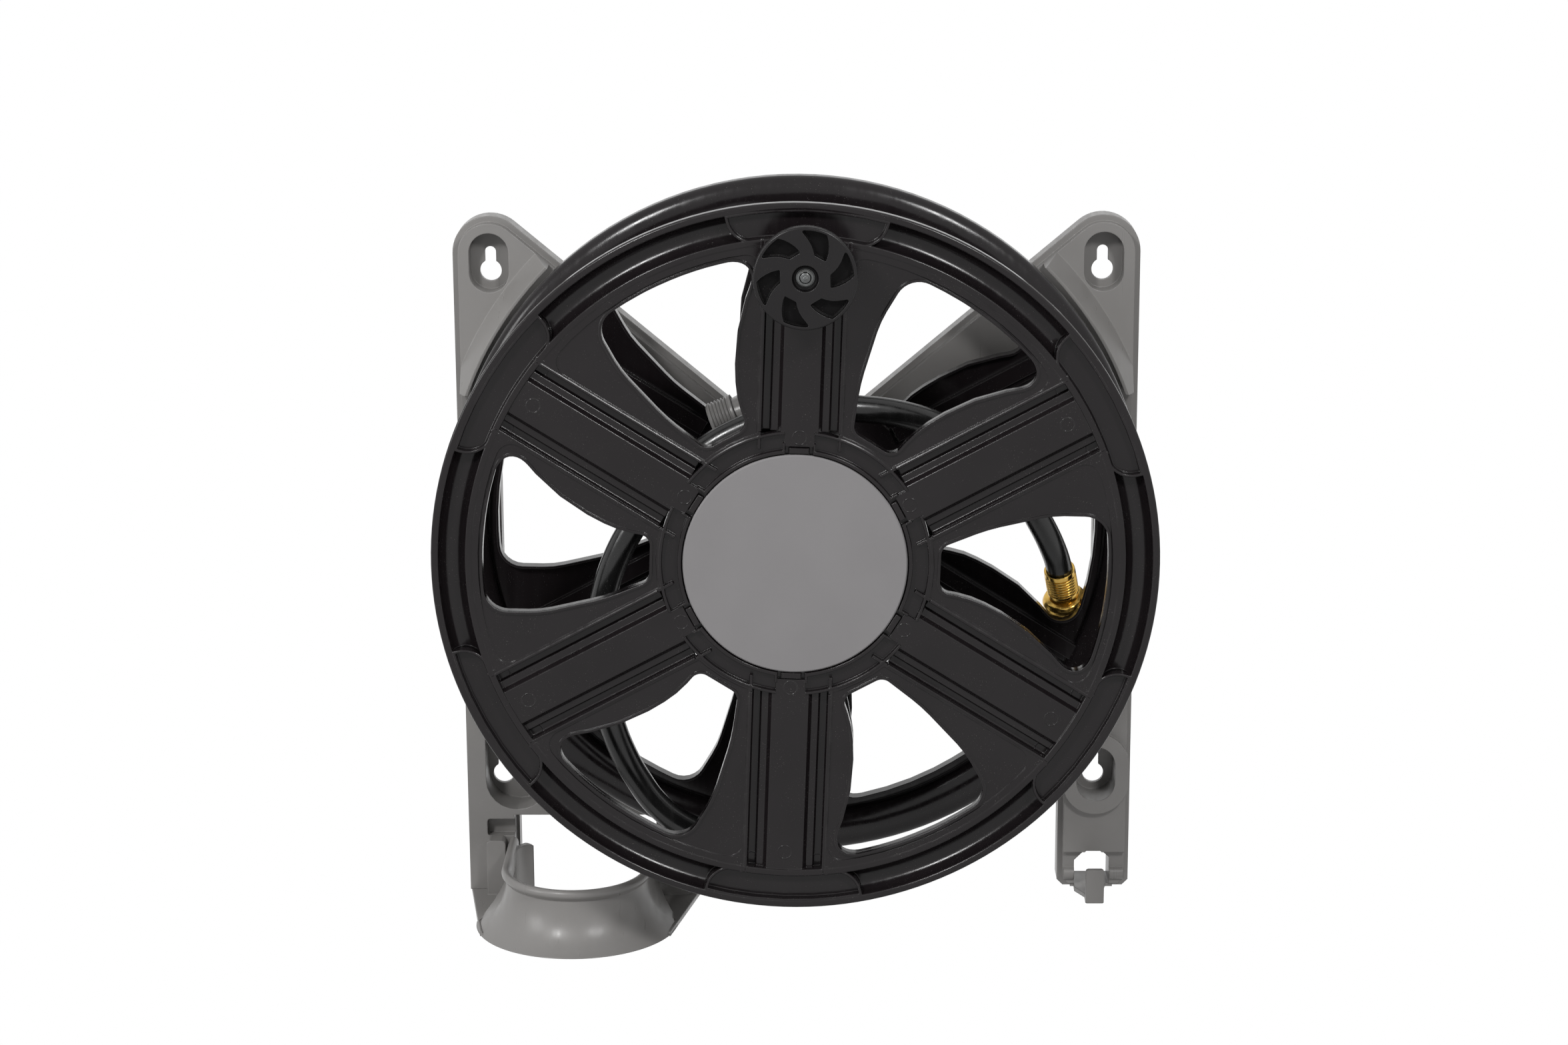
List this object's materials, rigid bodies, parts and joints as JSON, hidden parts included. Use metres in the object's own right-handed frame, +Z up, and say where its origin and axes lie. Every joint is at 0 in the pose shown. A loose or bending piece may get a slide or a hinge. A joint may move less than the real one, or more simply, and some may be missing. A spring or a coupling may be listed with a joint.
{
  "type": "garden hose reel",
  "caption": "Wall-mounted hose reel: a four-armed grey frame, a spoked black drum with a crank knob, a leader hose with a brass swivel nut, and a bell-mouthed hose guide.",
  "frame": {"origin": "where the drum's axis meets the wall", "axes": "+X to the right seen from the front, +Y into the wall along the drum's axis, +Z up"},
  "size_m": [0.4589, 0.21, 0.5025],
  "materials": {
    "grey": "satin moulded grey polypropylene",
    "cap": "satin moulded grey polypropylene",
    "black": "satin moulded black polypropylene",
    "pale": "natural acetal",
    "steel": "zinc plated",
    "brass": "lacquered brass",
    "hose": "glossy black vinyl",
    "seal": "black rubber"
  },
  "bodies": {
    "frame": {"frame_left": "grey", "frame_right": "grey", "axle": "grey", "axle_screws": "steel", "hose_guide": "grey", "guide_screws": "steel", "axle_washer": "steel", "axle_clip": "steel"},
    "drum": {"rear_flange": "black", "front_flange": "black", "barrel": "black", "rear_bush": "pale", "front_bush": "pale", "water_ring": "pale", "water_ring_seals": "seal", "outlet_elbow": "grey", "front_drum_screws": "steel", "rear_drum_screws": "steel", "hub_cap": "cap", "knob_sleeve": "steel", "knob_screw": "steel"},
    "inlet": {"inlet_ring": "pale", "inlet_ring_seals": "seal", "inlet_washer": "steel", "leader_hose": "hose", "inlet_ferrule": "brass", "end_ferrule": "brass", "hose_tail": "brass", "hose_washer": "seal"},
    "nut": {"swivel_nut": "brass"},
    "knob": {"crank_knob": "black"}
  },
  "joints": [
    {"name": "drum_spin", "type": "hinge", "parent": "frame", "child": "drum", "pos_m": [0, 0, 0], "axis": [0, 1, 0], "continuous": true},
    {"name": "inlet_spin", "type": "hinge", "parent": "frame", "child": "inlet", "pos_m": [0, 0, 0], "axis": [0, 1, 0], "continuous": true},
    {"name": "nut_spin", "type": "hinge", "parent": "inlet", "child": "nut", "pos_m": [0.1782, -0.0445, -0.0544], "axis": [0.1725, 0.4131, -0.8942], "continuous": true},
    {"name": "knob_spin", "type": "hinge", "parent": "drum", "child": "knob", "pos_m": [0.00724, 0, 0.18836], "axis": [0, 1, 0], "continuous": true}
  ],
  "couplings": [
    {"joint": "inlet_spin", "follows": "drum_spin", "ratio": 1}
  ]
}
